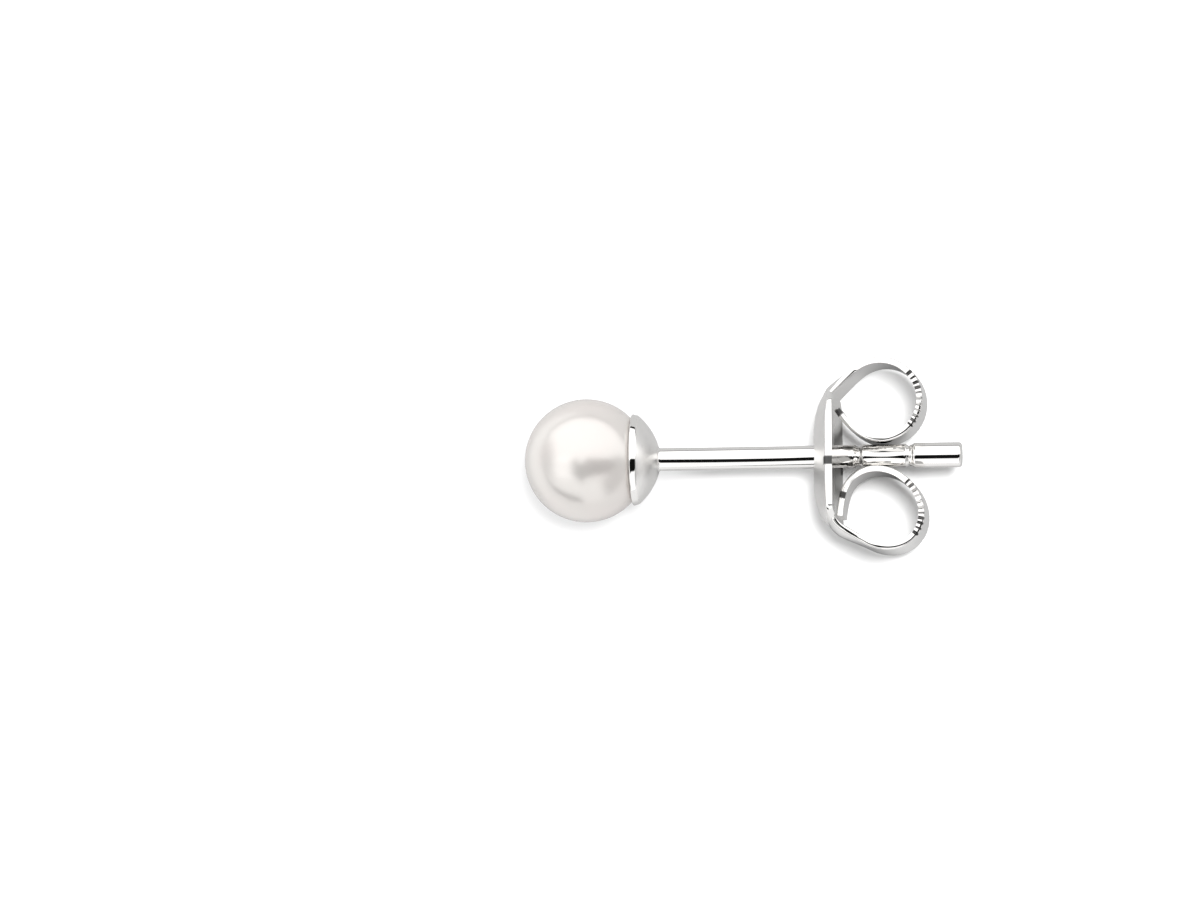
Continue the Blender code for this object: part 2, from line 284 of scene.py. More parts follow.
class StageSettings(PropertyGroup):
    """The camera's angle, the surface and the studio's light."""

    toward: FloatVectorProperty(
        name="Toward camera",
        description="Direction from the stud to the camera",
        default=(0.096, -0.095, 1.0),
        size=3,
    )
    roll: rotation("Roll", "Roll of the camera", 0.0074)
    distance: length("Distance", "From the stud to the camera", 1.0)
    seen_width: length("Seen width", "Width of the scene in the picture", 0.039)
    aim: FloatVectorProperty(
        name="Aim",
        description="What the picture's middle shows, from the pearl's centre along its right and up",
        default=(0.00043875, 0.0003315),
        size=2,
        unit="LENGTH",
    )
    surface: length("Surface", "Radius of the pale surface", 0.6)
    shadow_lift: share("Shadow lift", "How far the surface glows under the pearl, to pale its shadow", 0.65)
    pearl_shadow: FloatVectorProperty(
        name="Pearl's shadow",
        description="Where along the post that glow starts to fade, and where it is gone",
        default=(-0.0030, -0.0010),
        size=2,
        unit="LENGTH",
    )
    panel: FloatProperty(name="Panels", description="Brightness of the soft panels", default=1.4, min=0.0)
    key: FloatProperty(
        name="Key", description="Brightness of the lamp over the surface", default=5.0, min=0.0
    )
    key_angle: rotation("Key size", "Angle across the lamp", 0.28)
    key_lean: rotation("Key lean", "Lean of the lamp away from the zenith", 0.07)
    key_turn: rotation("Key turn", "Lean of the lamp along the post", 0.20)


# Shader maths


class Term:
    """A socket in a shader's maths. Each operator adds its Math node."""

    def __init__(self, nodes, socket):
        self.nodes = nodes
        self.socket = socket

    def math(self, operation, *values):
        return self.nodes.add("ShaderNodeMath", {"operation": operation}, values)

    def __add__(self, other):
        return self.math("ADD", self, other)

    def __sub__(self, other):
        return self.math("SUBTRACT", self, other)

    def __mul__(self, other):
        return self.math("MULTIPLY", self, other)

    def __radd__(self, other):
        return self.math("ADD", other, self)

    def __rsub__(self, other):
        return self.math("SUBTRACT", other, self)

    def __rmul__(self, other):
        return self.math("MULTIPLY", other, self)

    def step(self, low, high):
        """A soft step from 0 to 1 as the value goes from low to high."""
        return self.nodes.add(
            "ShaderNodeMapRange",
            {"interpolation_type": "SMOOTHSTEP"},
            {"Value": self, "From Min": low, "From Max": high},
        )

    def between(self, low, high, soft):
        """1 from low to high, fading to 0 over soft on both sides."""
        return self.step(low - soft, low) * (1 - self.step(high, high + soft))


class Nodes:
    """The node tree of a material or a world, emptied, with one method that adds any node."""

    def __init__(self, owner):
        owner.use_nodes = True
        self.tree = owner.node_tree
        self.tree.nodes.clear()

    def add(self, kind, settings=None, values=(), output=0):
        """Add a node, set its settings and then its sockets, and return one output as a Term."""
        node = self.tree.nodes.new(kind)
        for name, value in (settings or {}).items():
            setattr(node, name, value)
        for key, value in values.items() if isinstance(values, dict) else enumerate(values):
            if isinstance(value, Term):
                self.tree.links.new(value.socket, node.inputs[key])
            else:
                node.inputs[key].default_value = value
        return Term(self, node.outputs[output]) if node.outputs else None

    def mixed(self, factor, low, high):
        """The colour low where factor is 0 and high where it is 1."""
        return self.add(
            "ShaderNodeMix", {"data_type": "RGBA"}, {"Factor": factor, 6: low, 7: high}, output=2
        )

    def split(self, vector):
        """The three parts of a vector."""
        node = self.add("ShaderNodeSeparateXYZ", {}, [vector]).socket.node
        return [Term(self, output) for output in node.outputs]

    def noise(self, place, scale, detail=2.0, distortion=0.0):
        """Noise from 0 to 1 with so many blobs to the metre."""
        values = {"Vector": place, "Scale": scale, "Detail": detail, "Distortion": distortion}
        return self.add("ShaderNodeTexNoise", {}, values)

    def place(self, stretch=(1.0, 1.0, 1.0)):
        """The surface's own place in metres, stretched."""
        own = self.add("ShaderNodeTexCoord", output="Object")
        return self.add("ShaderNodeVectorMath", {"operation": "MULTIPLY"}, [own, stretch])

    def bumps(self, height, distance, strength=1.0):
        """A surface that stands up by height times distance, in metres."""
        values = {"Height": height, "Distance": distance, "Strength": strength}
        return self.add("ShaderNodeBump", {}, values)


def opaque(rgb):
    """A colour with its alpha."""
    return (*rgb, 1.0)


def nacre(settings):
    """Nacre: a warm white body with a satin glow under a clear skin."""
    material = bpy.data.materials.new("nacre_glow")
    nodes = Nodes(material)
    clouds = nodes.noise(nodes.place(), CLOUDS, detail=1.5, distortion=0.4)
    terraces = nodes.noise(nodes.place(), TERRACES, detail=1.5)
    skin = nodes.noise(nodes.place(), SKIN, detail=1.0)
    tint = nodes.mixed(clouds.step(*CLOUD_EDGES), opaque(settings.body), opaque(settings.overtone))
    shader = nodes.add(
        "ShaderNodeBsdfPrincipled",
        {},
        {
            "Base Color": tint,
            "Roughness": settings.satin + (terraces - 0.5) * TERRACE_SATIN,
            "Metallic": settings.lustre,
            "IOR": NACRE_IOR,
            "Coat Weight": COAT + (skin - 0.5) * COAT_STRAY,
            "Coat Roughness": COAT_SATIN,
            "Coat IOR": NACRE_IOR,
            "Normal": nodes.bumps(skin, SKIN_HEIGHT, SKIN_STRENGTH),
        },
    )
    nodes.add("ShaderNodeOutputMaterial", {}, [shader])
    return material


def silver(settings, name, stretch, ripple, satin=None):
    """Polished plated silver: nearly a mirror, with the marks of how it was drawn or rolled, darkened where
    shade and dark reflections are painted on the strip's edges.
    """
    material = bpy.data.materials.new(name)
    nodes = Nodes(material)
    drawn = nodes.noise(nodes.place(stretch), DRAWN, detail=3.0)
    smears = nodes.noise(nodes.place(), SMEARS, detail=2.0, distortion=0.6)
    waves = nodes.noise(nodes.place(stretch), WAVES, detail=1.0)
    smeared = opaque([SMEAR_TINT * part for part in settings.tint])
    dulled = nodes.mixed(smears.step(*SMEAR_TINT_EDGES), opaque(settings.tint), smeared)
    # The attribute read here darkens the colour: painted shade in the grip notches and painted dark
    # reflections on the strip's edges
    painted_dark = nodes.add("ShaderNodeAttribute", {"attribute_name": "painted_dark"}, output="Fac")
    dark = opaque([PAINTED_DARK_TINT * part for part in settings.tint])
    roughness = settings.polish + drawn.step(*DRAWN_EDGES) * DRAWN_SATIN
    roughness = roughness + smears.step(*SMEAR_SATIN_EDGES) * SMEAR_SATIN
    roughness = roughness + painted_dark * PAINTED_DARK_SATIN
    if satin:
        across = nodes.add("ShaderNodeSeparateXYZ", {}, [nodes.place()])
        low, high, soft, amount = satin
        roughness = roughness + across.between(low, high, soft) * amount
    shader = nodes.add(
        "ShaderNodeBsdfPrincipled",
        {},
        {
            "Base Color": nodes.mixed(painted_dark.step(*PAINTED_DARK_EDGES), dulled, dark),
            "Metallic": 1.0,
            "Roughness": roughness,
            "Normal": nodes.bumps(waves, ripple, 1.0),
        },
    )
    nodes.add("ShaderNodeOutputMaterial", {}, [shader])
    return material


# Shapes


def finished(name, solid, material, body, node):
    """Make a piece from a bmesh in the stud frame, put it in place and let it ride on its body."""
    bmesh.ops.recalc_face_normals(solid, faces=solid.faces)
    mesh = bpy.data.meshes.new(name)
    solid.to_mesh(mesh)
    solid.free()
    mesh.materials.append(material)
    mesh.shade_smooth()
    mesh.set_sharp_from_angle(angle=SHARP_ANGLE)
    piece = bpy.data.objects.new(name, mesh)
    bpy.context.scene.collection.objects.link(piece)
    piece.location = PEARL_CENTRE
    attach(piece, body)
    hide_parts(node)
    return piece


def turned(profile, steps):
    """A solid of revolution about X. The profile is (x, radius) points from axis to axis."""
    solid = bmesh.new()
    corners = [solid.verts.new((x, 0.0, radius)) for x, radius in profile]
    edges = [solid.edges.new(pair) for pair in zip(corners, corners[1:])]
    bmesh.ops.spin(
        solid,
        geom=corners + edges,
        cent=(0, 0, 0),
        axis=(1, 0, 0),
        angle=math.tau,
        steps=steps,
        use_merge=True,
    )
    bmesh.ops.remove_doubles(solid, verts=solid.verts, dist=AXIS_WELD)
    return solid


def weld(mesh):
    """Merge the doubled points that a cut leaves, and drop those that only split an edge."""
    solid = bmesh.new()
    solid.from_mesh(mesh)
    bmesh.ops.remove_doubles(solid, verts=solid.verts, dist=CUT_WELD)
    idle = [vert for vert in solid.verts if len(vert.link_edges) == 2]
    bmesh.ops.dissolve_verts(solid, verts=idle)
    solid.to_mesh(mesh)
    solid.free()


def arc(centre, radius, start, end, steps):
    """Points of a circle in the (x, radius) plane, angles in radians from +X."""
    angles = (start + (end - start) * i / steps for i in range(steps + 1))
    return [(centre[0] + radius * math.cos(a), centre[1] + radius * math.sin(a)) for a in angles]


def bowed(start, end, crown, steps):
    """Points of the arc from start to end that rises by crown over the straight line."""
    start, end = Vector(start), Vector(end)
    chord = end - start
    side = Vector((-chord.y, chord.x)).normalized()
    radius = (chord.length_squared / 4 + crown * crown) / (2 * crown)
    centre = (start + end) / 2 - side * (radius - crown)
    half = math.asin(chord.length / 2 / radius)
    middle = math.atan2(side.y, side.x)
    return arc(centre, radius, middle + half, middle - half, steps)


def eased(part):
    """A smooth step from 0 to 1."""
    part = min(1.0, max(0.0, part))
    return part * part * (3 - 2 * part)


def pearl_profile(settings):
    """The pearl's outline, half drilled from the back for the peg."""
    radius, hole = settings.diameter / 2, settings.hole / 2
    mouth = math.asin(hole / radius)
    bottom = radius - settings.hole_depth
    around = arc((0, 0), radius, math.pi, mouth, PEARL_STEPS // 2)[1:]
    return [(-radius, 0.0)] + around + [(bottom, hole), (bottom - hole / 2, 0.0)]


# The rounding of the cup's lip, as a share of its thickness
LIP_SOFTNESS = 0.3


def cup_profile(settings, seat):
    """The peg and the cup, from the peg's end to the back of the cup at the post."""
    peg_end, peg = seat - settings.peg_length, settings.peg / 2
    radius = settings.cup / 2
    lip = math.asin((radius - settings.lip) / seat)
    rim = seat * math.cos(lip)
    soft = settings.lip * LIP_SOFTNESS
    edge = (rim + settings.band, radius - settings.band_taper)
    corner = settings.band_taper / 2
    root = (seat + settings.back_wall, settings.post / 2 + settings.fillet)
    fillet = (root[0] + settings.fillet, root[1])
    return (
        [(peg_end, 0.0), (peg_end, peg)]
        + arc((0, 0), seat, math.asin(peg / seat), lip, SEAT_STEPS)
        + arc((rim + soft, radius - soft), soft, math.pi, math.pi / 2, SMALL_ARC)
        + [(edge[0] - corner, edge[1] + corner / 4)]
        + bowed(edge, root, settings.crown, DOME_STEPS)
        + arc(fillet, settings.fillet, math.pi, 1.5 * math.pi, SMALL_ARC)[1:]
    )


# Shares of a groove's width, from its middle: the flat floor, the run of the wall beside it, and
# the place and reach of the metal that rolling raised. Its height is a share of the groove's depth.
GROOVE_FLOOR = 0.1
GROOVE_WALL = 0.3
RAISED_PLACE = 0.44
RAISED_REACH = 0.06
RAISED_HEIGHT = 0.12


def groove_profile(settings, centre, before, behind):
    """One friction groove rolled round the post, between two radii of the post."""
    points = []
    steps = 2 * SMALL_ARC
    for i in range(steps + 1):
        part = i / steps - 0.5
        radius = before if part < 0 else behind
        depth = settings.groove_depth * (1 - eased((abs(part) - GROOVE_FLOOR) / GROOVE_WALL))
        raised = eased(1 - abs(abs(part) - RAISED_PLACE) / RAISED_REACH)
        lift = settings.groove_depth * RAISED_HEIGHT * raised
        points.append((centre + settings.groove_width * part, radius - depth + lift))
    return points


def post_profile(settings):
    """The post behind the cup: its friction grooves, then the thicker tail and its rounded tip."""
    post = settings.post / 2
    tail = post + settings.tail_swell
    soft = settings.tip_rounding
    points = []
    for number in range(settings.grooves, 0, -1):
        behind = post if number > 1 else tail
        points += groove_profile(settings, POST_TIP - settings.groove_spacing * number, post, behind)
    return points + arc((POST_TIP - soft, tail - soft), soft, math.pi / 2, 0, SMALL_ARC) + [(POST_TIP, 0.0)]


# The two wings of the clutch, from the plate's middle outwards. side is the side of the post in
# Y. fold is the fold's distance from the post's axis as a share of the plate's length, bend its
# radius as a share of the fold radius, and loop the scroll's size as a share of the loop. lean
# is how far the scroll leans along the post for each unit of distance from it, and camber what is
# left of the dome at the fold. roll is how much of the sheet the outer corners lose at the fold.
# The scroll lets go of its circle at the heading release, in degrees from +X, and runs on for
# back_run, a share of the loop, turning by back_turn. Between each pair of stations in the wing's
# last field the strip's edges are darkened with painted dark reflections.
Wing = namedtuple("Wing", "side fold bend loop lean camber roll release back_run back_turn marks")
WINGS = (
    Wing(
        side=1, fold=0.485, bend=0.19, loop=0.995, lean=0.0,
        camber=0.32, roll=0.60, release=145, back_run=0.41, back_turn=25, marks=((1.973, 1.997),),
    ),
    Wing(
        side=-1, fold=0.534, bend=1.00, loop=1.005, lean=0.15,
        camber=0.35, roll=0.15, release=114, back_run=0.31, back_turn=12,
        marks=((0.08, 0.20), (1.903, 1.927)),
    ),
)

# Widths of the strip. station is 0 at the plate's middle, 1 at the fold and 2 at the tip, and
# width a share of the plate's width.
Section = namedtuple("Section", "station width")
SECTIONS = (
    Section(station=0.0, width=0.999),
    Section(station=FOOT_STATION - 0.08, width=0.999),
    Section(station=FOOT_STATION, width=1.0),
    Section(station=1.14, width=0.62),
    Section(station=1.4, width=0.52),
    Section(station=1.7, width=0.49),
    Section(station=2.0, width=0.42),
)

# How many stations past the fold the dome ends, and the power by which it falls off before it
CAMBER_RUN = 0.22
DOME_FLATNESS = 4

# Stations where the outer corners start and stop to be rolled off, and the share of the half
# width from which they are
ROLL_START = 0.55
ROLL_END = 1.08
ROLL_FROM = 0.76

# Stations between which the strip's inner corners are rounded too
SOFT_INSIDE = (0.99, 1.12)
SOFT_FADE = 0.03
# How far the painted dark reflections on the strip's edges fade in and out, in stations
DARK_REFLECTION_FADE = 0.006

# The flat floor of a grip notch, as a share of its width
NOTCH_FLOOR = 0.35

# How unevenly the notches are cut: their place, width and depth follow three sine waves, each
# with its pace in radians from notch to notch
NOTCH_STRAY = 0.10
NOTCH_SPREAD = 0.30
NOTCH_DEPTH = 0.72
NOTCH_DEPTH_STRAY = 0.28
STRAY_PACE = 7.3
SPREAD_PACE = 4.1
SPREAD_START = 1.0
DEPTH_PACE = 5.7
DEPTH_START = 2.0

# A point of the strip's middle line in the plane of the scrolls: u from the plate's edges along
# the post, v out from the post's axis, the heading of the line, the length run so far, the part
# of it up to the fold, and the depth of the grip notch in the strip's two edges there.
Point = namedtuple("Point", "u v heading run fold_run notch")


def bent(start, run_length, turn, steps):
    """The points that follow start along a straight or an evenly bent run, turning clockwise."""
    points = []
    for i in range(1, steps + 1):
        run = run_length * i / steps
        angle = turn * i / steps
        chord = run if not turn else 2 * run_length / turn * math.sin(angle / 2)
        along = start.heading - angle / 2
        points.append(
            start._replace(
                u=start.u + chord * math.cos(along),
                v=start.v + chord * math.sin(along),
                heading=start.heading - angle,
                run=start.run + run,
            )
        )
    return points


def steps_for(turn):
    """How many pieces a bend takes."""
    return max(2, math.ceil(turn / BEND_STEP))


def scroll(settings, start, radius, turn):
    """The scroll's circle from start, with uneven grip notches in its edges at the back."""
    depths = {turn * i / steps_for(turn): 0.0 for i in range(1, steps_for(turn) + 1)}
    back = start.heading + math.pi / 2
    pitch = settings.notch_pitch / radius
    half = settings.notch_width / radius / 2
    first = back - pitch * (settings.notches - 1) / 2
    last = back + pitch * (settings.notches - 1) / 2
    depths = {angle: 0.0 for angle in depths if not first - pitch < angle < last + pitch}
    for number in range(settings.notches):
        middle = first + pitch * (number + NOTCH_STRAY * math.sin(STRAY_PACE * number))
        reach = half * (1 + NOTCH_SPREAD * math.sin(SPREAD_PACE * number + SPREAD_START))
        wave = math.sin(DEPTH_PACE * number + DEPTH_START)
        depth = settings.notch_depth * (NOTCH_DEPTH + NOTCH_DEPTH_STRAY * wave)
        floor = reach * NOTCH_FLOOR
        depths.update(
            {middle - reach: 0.0, middle - floor: depth, middle + floor: depth, middle + reach: 0.0}
        )
    points = []
    for angle, depth in sorted(depths.items()):
        points += [p._replace(notch=depth) for p in bent(start, radius * angle, angle, 1)]
    return points


def leant(point, lean, middle):
    """The point after its scroll leans along the post, about the scroll's middle."""
    across = math.sin(point.heading)
    along = math.cos(point.heading) + lean * across
    return point._replace(u=point.u + lean * (point.v - middle), heading=math.atan2(across, along))


def wing_points(settings, post, wing):
    """The middle line of one wing, from the plate's middle round to the tip of its scroll."""
    radius = wing.loop * settings.loop / 2
    centre = Vector((settings.loop_standoff + radius, post + settings.grip + settings.sheet / 2 + radius))
    fold = Vector((0.0, wing.fold * settings.plate_length))

    # The line that touches the scroll, found before the scroll leans and then leant with it.
    upright = Vector((-wing.lean * (fold.y - centre.y), fold.y))
    across = centre - upright
    touching = math.atan2(across.y, across.x) + math.asin(radius / across.length)
    reach = math.sqrt(across.length_squared - radius * radius)
    touch = upright + reach * Vector((math.cos(touching), math.sin(touching)))
    onward = Vector((touch.x + wing.lean * (touch.y - centre.y), touch.y)) - fold
    leaving = math.atan2(onward.y, onward.x)

    turn = math.pi / 2 - leaving
    bend = wing.bend * settings.fold_radius
    trim = bend * math.tan(turn / 2)
    middle = Point(0.0, 0.0, math.pi / 2, 0.0, fold.y - trim + bend * turn / 2, 0.0)
    points = [middle]
    foot = FOOT_STATION * middle.fold_run
    points += bent(points[-1], foot, 0.0, PLATE_STEPS)
    points += bent(points[-1], fold.y - trim - foot, 0.0, FOLD_STEPS)
    points += bent(points[-1], bend * turn, turn, steps_for(turn))
    points += bent(points[-1], onward.length - trim, 0.0, STRAIGHT_STEPS)

    start = points[-1]._replace(u=touch.x, v=touch.y, heading=touching)
    rolled = scroll(settings, start, radius, touching + math.tau - math.radians(wing.release))
    back_turn = math.radians(wing.back_turn)
    rolled += bent(rolled[-1], wing.back_run * settings.loop, back_turn, RETURN_STEPS)
    return points + [leant(point, wing.lean, centre.y) for point in rolled]


def station_of(point, tip_run):
    """0 at the plate's middle, 1 at the fold, 2 at the tip."""
    if point.run < point.fold_run:
        return point.run / point.fold_run
    return 1 + (point.run - point.fold_run) / (tip_run - point.fold_run)


def width_at(settings, station):
    """The strip's width, eased from one row of the table to the next."""
    for low, high in zip(SECTIONS, SECTIONS[1:]):
        if station <= high.station:
            part = eased((station - low.station) / (high.station - low.station))
            return settings.plate_width * (low.width + (high.width - low.width) * part)
    return settings.plate_width * SECTIONS[-1].width


def dome_at(settings, station, camber):
    """How far the strip's middle stands out in front of its edges."""
    if station < 1:
        return settings.dome * (camber + (1 - camber) * (1 - station**DOME_FLATNESS))
    return settings.dome * camber * (1 - eased((station - 1) / CAMBER_RUN))


def rolled_at(settings, station, roll):
    """How much the strip's outer corners are rolled off, most at the fold."""
    if station < 1:
        return settings.sheet * roll * eased((station - ROLL_START) / (1 - ROLL_START))
    return settings.sheet * roll * (1 - eased((station - 1) / (ROLL_END - 1)))


def within(station, low, high, fade):
    """1 from low to high, fading to 0 over fade on both sides."""
    return eased((station - low) / fade + 1) * (1 - eased((station - high) / fade))


def dimple_at(settings, radius):
    """How deep the funnel round the post's hole is pressed at this distance from the axis."""
    return settings.dimple_depth * (1 - eased((radius - settings.hole / 2) / settings.dimple_rim))


# Places from the strip's middle outwards, as shares of its half width, closest at the dimple
HALF_COLUMNS = (
    0.0, 0.04, 0.08, 0.12, 0.16, 0.20, 0.24, 0.28, 0.32, 0.38, 0.46, 0.55, 0.65, 0.75, 0.85, 0.93,
)


def columns():
    """Places across the whole strip, as shares of its half width."""
    return [-part for part in HALF_COLUMNS[:0:-1]] + list(HALF_COLUMNS)


def ring(settings, point, wing, tip_run):
    """The closed outline of the strip across one point, tumbled round outside, sharper inside."""
    station = station_of(point, tip_run)
    half = width_at(settings, station) / 2
    dome = dome_at(settings, station, wing.camber)
    rolled = rolled_at(settings, station, wing.roll)
    normal = Vector((-math.sin(point.heading), wing.side * math.cos(point.heading), 0.0))
    base = Vector((point.u, wing.side * point.v, 0.0))
    reach = half - point.notch
    crown = settings.edge_crown
    bevel = crown * within(station, *SOFT_INSIDE, SOFT_FADE)

    def level(z):
        """The heights of the outer and the inner side at a place across the strip."""
        part = z / half
        height = dome * (1 - part * part)
        if station < 1:
            height -= dimple_at(settings, math.hypot(point.v, z))
        wall = settings.sheet / 2 * math.hypot(1, 2 * dome * part / half)
        beyond = max(0.0, abs(part) - ROLL_FROM) / (1 - ROLL_FROM)
        return height + wall - rolled * beyond * beyond, height - wall

    def spot(z, height):
        return base + normal * height + Vector((0, 0, z))

    outer, inner = [], []
    for part in columns():
        z = part * (reach - crown)
        over, under = level(z)
        outer.append(spot(z, over))
        inner.append(spot(z, under))
    edges = {}
    for sign in (-1, 1):
        over = level(sign * (reach - crown))[0]
        under = level(sign * (reach - bevel))[1]
        middle = sum(level(sign * reach)) / 2
        edges[sign] = []
        for i in range(EDGE_STEPS + 1):
            angle = math.pi * i / EDGE_STEPS
            rounding, side = (crown, over) if angle < math.pi / 2 else (bevel, under)
            height = middle + (side - middle) * abs(math.cos(angle))
            edges[sign].append(spot(sign * (reach - rounding * (1 - math.sin(angle))), height))
    places = outer + edges[1] + inner[::-1] + edges[-1][::-1]
    # The edges are darkened with painted shade as deep as the grip notch, and with painted dark reflections
    # between the wing's listed stations
    dark_reflection = max(within(station, low, high, DARK_REFLECTION_FADE) for low, high in wing.marks)
    depth = max(point.notch / settings.notch_depth, dark_reflection)
    painted_dark = [0.0] * len(outer) + [depth] * len(edges[1]) + [0.0] * len(inner) + [depth] * len(edges[-1])
    return list(zip(places, painted_dark))


def strip_solid(settings, post):
    """The whole strip, from the tip of one scroll over the plate to the other."""
    wings = []
    for wing in WINGS:
        points = wing_points(settings, post, wing)
        wings.append([ring(settings, point, wing, points[-1].run) for point in points])
    upper, lower = wings
    solid = bmesh.new()
    # A layer for the edges' painted shade and painted dark reflections
    dark = solid.verts.layers.float.new("painted_dark")
    rows = []
    for outline in lower[:0:-1] + upper:
        rows.append([solid.verts.new(place) for place, _ in outline])
        for vert, (_, depth) in zip(rows[-1], outline):
            vert[dark] = depth
    size = len(rows[0])
    for low, high in zip(rows, rows[1:]):
        for i in range(size):
            j = (i + 1) % size
            solid.faces.new((low[i], low[j], high[j], high[i]))
    for row in (rows[0], rows[-1]):
        solid.faces.new(row)
    return solid


# Operators


class EARRING_OT_pearl(Operator):
    """Build the pearl"""

    bl_idname = "earring.pearl"
    bl_label = "Pearl"

    def execute(self, context):
        settings = context.scene.earring_pearl
        solid = turned(pearl_profile(settings), PEARL_STEPS)
        piece = finished("nacre_pearl", solid, nacre(settings), "stud", "pearl")
        return {"FINISHED"}


class EARRING_OT_setting(Operator):
    """Build the cup and post"""

    bl_idname = "earring.setting"
    bl_label = "Cup and post"

    def execute(self, context):
        settings = context.scene.earring_setting
        seat = context.scene.earring_pearl.diameter / 2 + settings.glue_gap
        solid = turned(cup_profile(settings, seat) + post_profile(settings), TURN_STEPS)
        band_end = math.sqrt(seat**2 - (settings.cup / 2 - settings.lip) ** 2) + settings.band
        fade = settings.fillet / 2
        satin = (band_end + fade, seat + settings.back_wall, fade, CUP_SATIN)
        metal = context.scene.earring_silver
        finish = silver(metal, "drawn_silver", POST_STRETCH, POST_RIPPLE, satin)
        piece = finished("silver_cup_and_post", solid, finish, "stud", "cup_and_post")
        return {"FINISHED"}


class EARRING_OT_clutch(Operator):
    """Build the butterfly clutch and cut its hole"""

    bl_idname = "earring.clutch"
    bl_label = "Butterfly clutch"

    def execute(self, context):
        settings = context.scene.earring_clutch
        post = context.scene.earring_setting.post / 2
        plate = Vector((POST_TIP - settings.from_tip, 0.0, 0.0))
        strip = strip_solid(settings, post)
        bmesh.ops.translate(strip, verts=strip.verts, vec=plate)
        front = plate.x - settings.dome
        end = front + settings.dome * PLATE_SATIN_END
        satin = (front - settings.dome, end, settings.dome * PLATE_SATIN_FADE, PLATE_SATIN)
        metal = context.scene.earring_silver
        finish = silver(metal, "rolled_silver", CLUTCH_STRETCH, CLUTCH_RIPPLE, satin)
        piece = finished("silver_clutch", strip, finish, "clutch", "butterfly_clutch")

        radius = settings.hole / 2
        near = -2 * (settings.dome + settings.sheet)
        far = 2 * settings.sheet
        outline = ((near, 0.0), (near, radius), (far, radius), (far, 0.0))
        drill = turned(outline, TURN_STEPS)
        bmesh.ops.recalc_face_normals(drill, faces=drill.faces)
        mesh = bpy.data.meshes.new("drill")
        drill.to_mesh(mesh)
        drill.free()
        mesh.shade_smooth()
        cutter = bpy.data.objects.new("drill", mesh)
        context.scene.collection.objects.link(cutter)
        cutter.location = PEARL_CENTRE + plate
        hole = piece.modifiers.new("post_hole", "BOOLEAN")
        hole.operation = "DIFFERENCE"
        hole.object = cutter
        context.view_layer.update()
        cut = bpy.data.meshes.new_from_object(piece.evaluated_get(context.evaluated_depsgraph_get()))
        piece.modifiers.clear()
        weld(cut)
        piece.data = cut
        cut.set_sharp_from_angle(angle=SHARP_ANGLE)
        bpy.data.objects.remove(cutter)
        return {"FINISHED"}


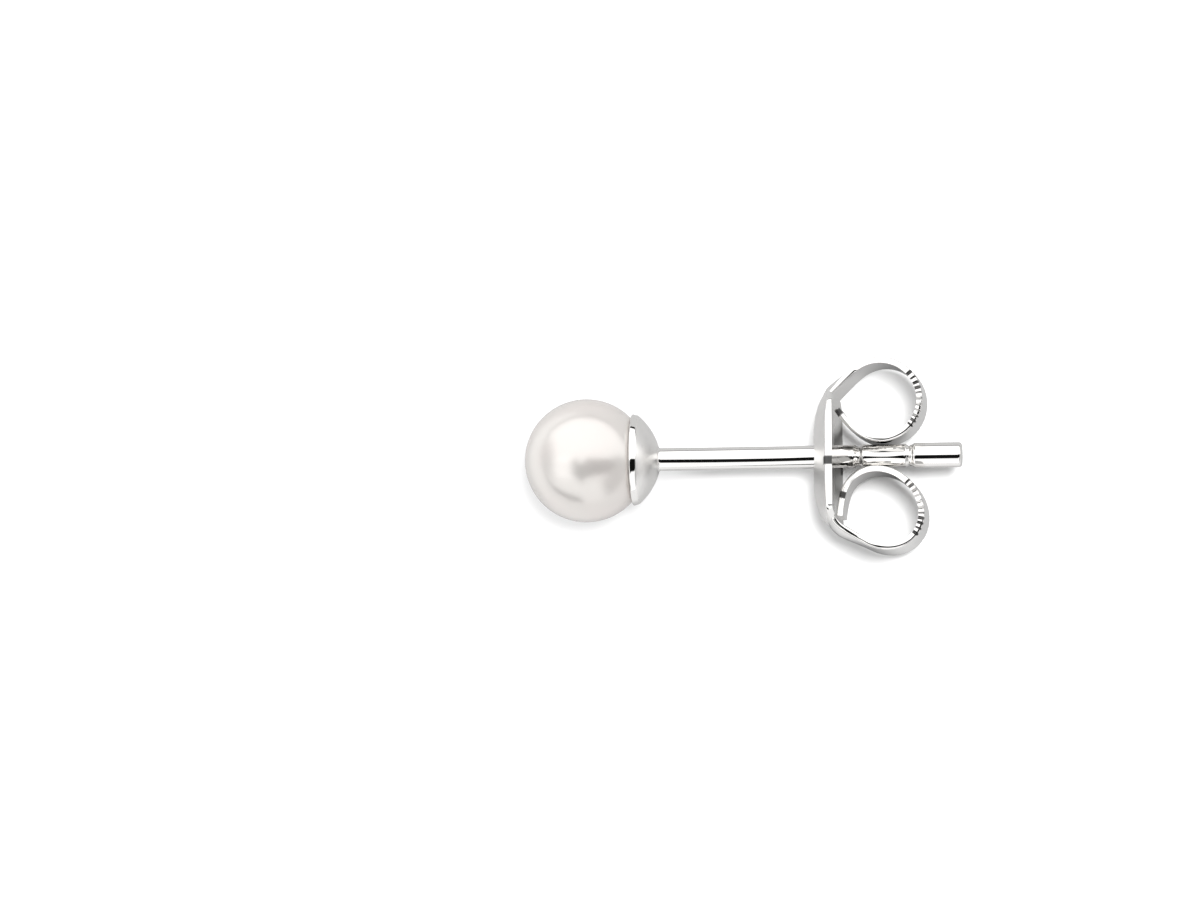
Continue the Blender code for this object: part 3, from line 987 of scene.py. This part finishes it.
class EARRING_OT_stage(Operator):
    """Set up the surface, the studio's light and the camera"""

    bl_idname = "earring.stage"
    bl_label = "Stage"

    def execute(self, context):
        settings = context.scene.earring_stage
        context.scene.view_settings.view_transform = "Standard"
        self.surface(context, settings)
        self.studio(context, settings)
        self.camera(context, settings)
        return {"FINISHED"}

    def surface(self, context, settings):
        """A round pale surface under the stud."""
        disc = bmesh.new()
        bmesh.ops.create_circle(disc, cap_ends=True, segments=TURN_STEPS, radius=settings.surface)
        mesh = bpy.data.meshes.new("surface")
        disc.to_mesh(mesh)
        disc.free()
        surface = bpy.data.objects.new("surface", mesh)
        context.scene.collection.objects.link(surface)
        material = bpy.data.materials.new("white_card")
        nodes = Nodes(material)
        card = nodes.add("ShaderNodeBsdfDiffuse", {}, {"Color": opaque([SEEN_GREY] * 3)})
        # Every ray but the camera's sees a darker copy, darkest near the stud: painted shade for the metal
        # and the pearl to reflect
        x, y = nodes.split(nodes.place())[:2]
        below = (0 - y).step(*BELOW)
        beyond = (0 - x).step(*BEYOND)
        grey = nodes.mixed(below, opaque([NEAR_GREY] * 3), opaque([BELOW_GREY] * 3))
        grey = nodes.mixed(beyond, grey, opaque([BEYOND_GREY] * 3))
        shaded_copy = nodes.add("ShaderNodeBsdfDiffuse", {}, {"Color": grey})
        glow = nodes.add("ShaderNodeEmission", {}, {"Color": WHITE, "Strength": 1.0})
        lifted = (1 - x.step(*settings.pearl_shadow)) * settings.shadow_lift
        card = nodes.add("ShaderNodeMixShader", {}, [lifted, card, glow])
        seen = nodes.add("ShaderNodeLightPath", output="Is Camera Ray")
        nodes.add("ShaderNodeOutputMaterial", {}, [nodes.add("ShaderNodeMixShader", {}, [seen, shaded_copy, card])])
        mesh.materials.append(material)
        self.lamp(context, settings, surface)

    def lamp(self, context, settings, surface):
        """A soft lamp over the surface, which gives the stud its small shadow."""
        light = bpy.data.lights.new("key", "SUN")
        light.energy = settings.key
        light.angle = settings.key_angle
        lamp = bpy.data.objects.new("key", light)
        context.scene.collection.objects.link(lamp)
        lamp.rotation_euler = (-settings.key_lean, settings.key_turn, 0.0)
        lit = bpy.data.collections.new("lit_by_key")
        lit.objects.link(surface)
        lamp.light_linking.receiver_collection = lit

    def studio(self, context, settings):
        """A light tent: soft panels on both sides of the post, with a dark gap between them."""
        world = bpy.data.worlds.new("light_tent")
        context.scene.world = world
        nodes = Nodes(world)
        toward = nodes.add("ShaderNodeTexCoord", output="Generated")
        x, y, z = nodes.split(toward)
        around = x.math("ARCTAN2", y, z) * (180 / math.pi)
        left = (0 - x).step(*LEFT_SIDE)
        high = around.step(*HIGH)
        shifted = around - (x.step(*GAP_RIGHT) + (0 - x).step(*GAP_LEFT)) * GAP_SHIFT
        key = shifted.step(*KEY_START) * (1 - around.step(*KEY_END))
        fill = (around + FILL_FROM - left * FILL_LEFT).step(*FILL_START)
        fill = fill * (1 - shifted.step(*FILL_END)) * FILL_LIGHT
        closed = shifted.between(*GAP_SPAN) * (0 - x).step(*GAP_CLOSED)
        low = 1 - around.step(*LOW)
        right_end = (x + low * LOW_REACH).step(*TENT_END) * (1 - high)
        left_end = (0 - x).step(*TENT_END)
        light = (key + fill + closed) * (1 - right_end) * (1 - left_end)
        light = light + right_end * RIGHT_END_LIGHT + left_end * LEFT_END_LIGHT
        backdrop = nodes.add("ShaderNodeBackground", {}, {"Color": WHITE, "Strength": 1.0})
        strength = light * settings.panel + TENT_FLOOR
        tent = nodes.add("ShaderNodeBackground", {}, {"Color": WHITE, "Strength": strength})
        seen = nodes.add("ShaderNodeLightPath", output="Is Camera Ray")
        nodes.add("ShaderNodeOutputWorld", {}, [nodes.add("ShaderNodeMixShader", {}, [seen, tent, backdrop])])

    def camera(self, context, settings):
        """A long lens at the photograph's angle, over the stud."""
        toward = Vector(settings.toward).normalized()
        level = Vector((0, 1, 0)).cross(toward).normalized()
        rise = toward.cross(level).normalized()
        right = level * math.cos(settings.roll) - rise * math.sin(settings.roll)
        up = rise * math.cos(settings.roll) + level * math.sin(settings.roll)
        target = PEARL_CENTRE + right * settings.aim[0] + up * settings.aim[1]
        lens = bpy.data.cameras.new("long_lens")
        lens.sensor_width = SENSOR_WIDTH
        lens.lens = settings.distance * lens.sensor_width / settings.seen_width
        lens.clip_start = settings.distance / CLIP_PARTS
        camera = bpy.data.objects.new("long_lens", lens)
        context.scene.collection.objects.link(camera)
        place = Matrix((right, up, toward)).transposed().to_4x4()
        place.translation = target + toward * settings.distance
        camera.matrix_world = place
        context.scene.camera = camera


class EARRING_PT_sidebar(Panel):
    """The operators, in the order in which they build the stud."""

    bl_idname = "EARRING_PT_sidebar"
    bl_label = "Pearl stud earring"
    bl_space_type = "VIEW_3D"
    bl_region_type = "UI"
    bl_category = "Earring"

    def draw(self, context):
        for operator in OPERATORS:
            self.layout.operator(operator.bl_idname)
        for name in SETTINGS:
            box = self.layout.box()
            group = getattr(context.scene, name)
            for prop in group.__annotations__:
                box.prop(group, prop)


OPERATORS = (EARRING_OT_pearl, EARRING_OT_setting, EARRING_OT_clutch, EARRING_OT_stage)
SETTINGS = {
    "earring_pearl": PearlSettings,
    "earring_setting": SettingSettings,
    "earring_clutch": ClutchSettings,
    "earring_silver": SilverSettings,
    "earring_stage": StageSettings,
}


def register():
    for kind in (*SETTINGS.values(), *OPERATORS, EARRING_PT_sidebar):
        bpy.utils.register_class(kind)
    for name, kind in SETTINGS.items():
        setattr(bpy.types.Scene, name, PointerProperty(type=kind))


def unregister():
    for name in SETTINGS:
        delattr(bpy.types.Scene, name)
    for kind in reversed((*SETTINGS.values(), *OPERATORS, EARRING_PT_sidebar)):
        bpy.utils.unregister_class(kind)


def main():
    register()
    bpy.ops.earring.pearl()
    bpy.ops.earring.setting()
    bpy.ops.earring.clutch()
    bpy.ops.earring.stage()


if __name__ == "__main__":
    main()
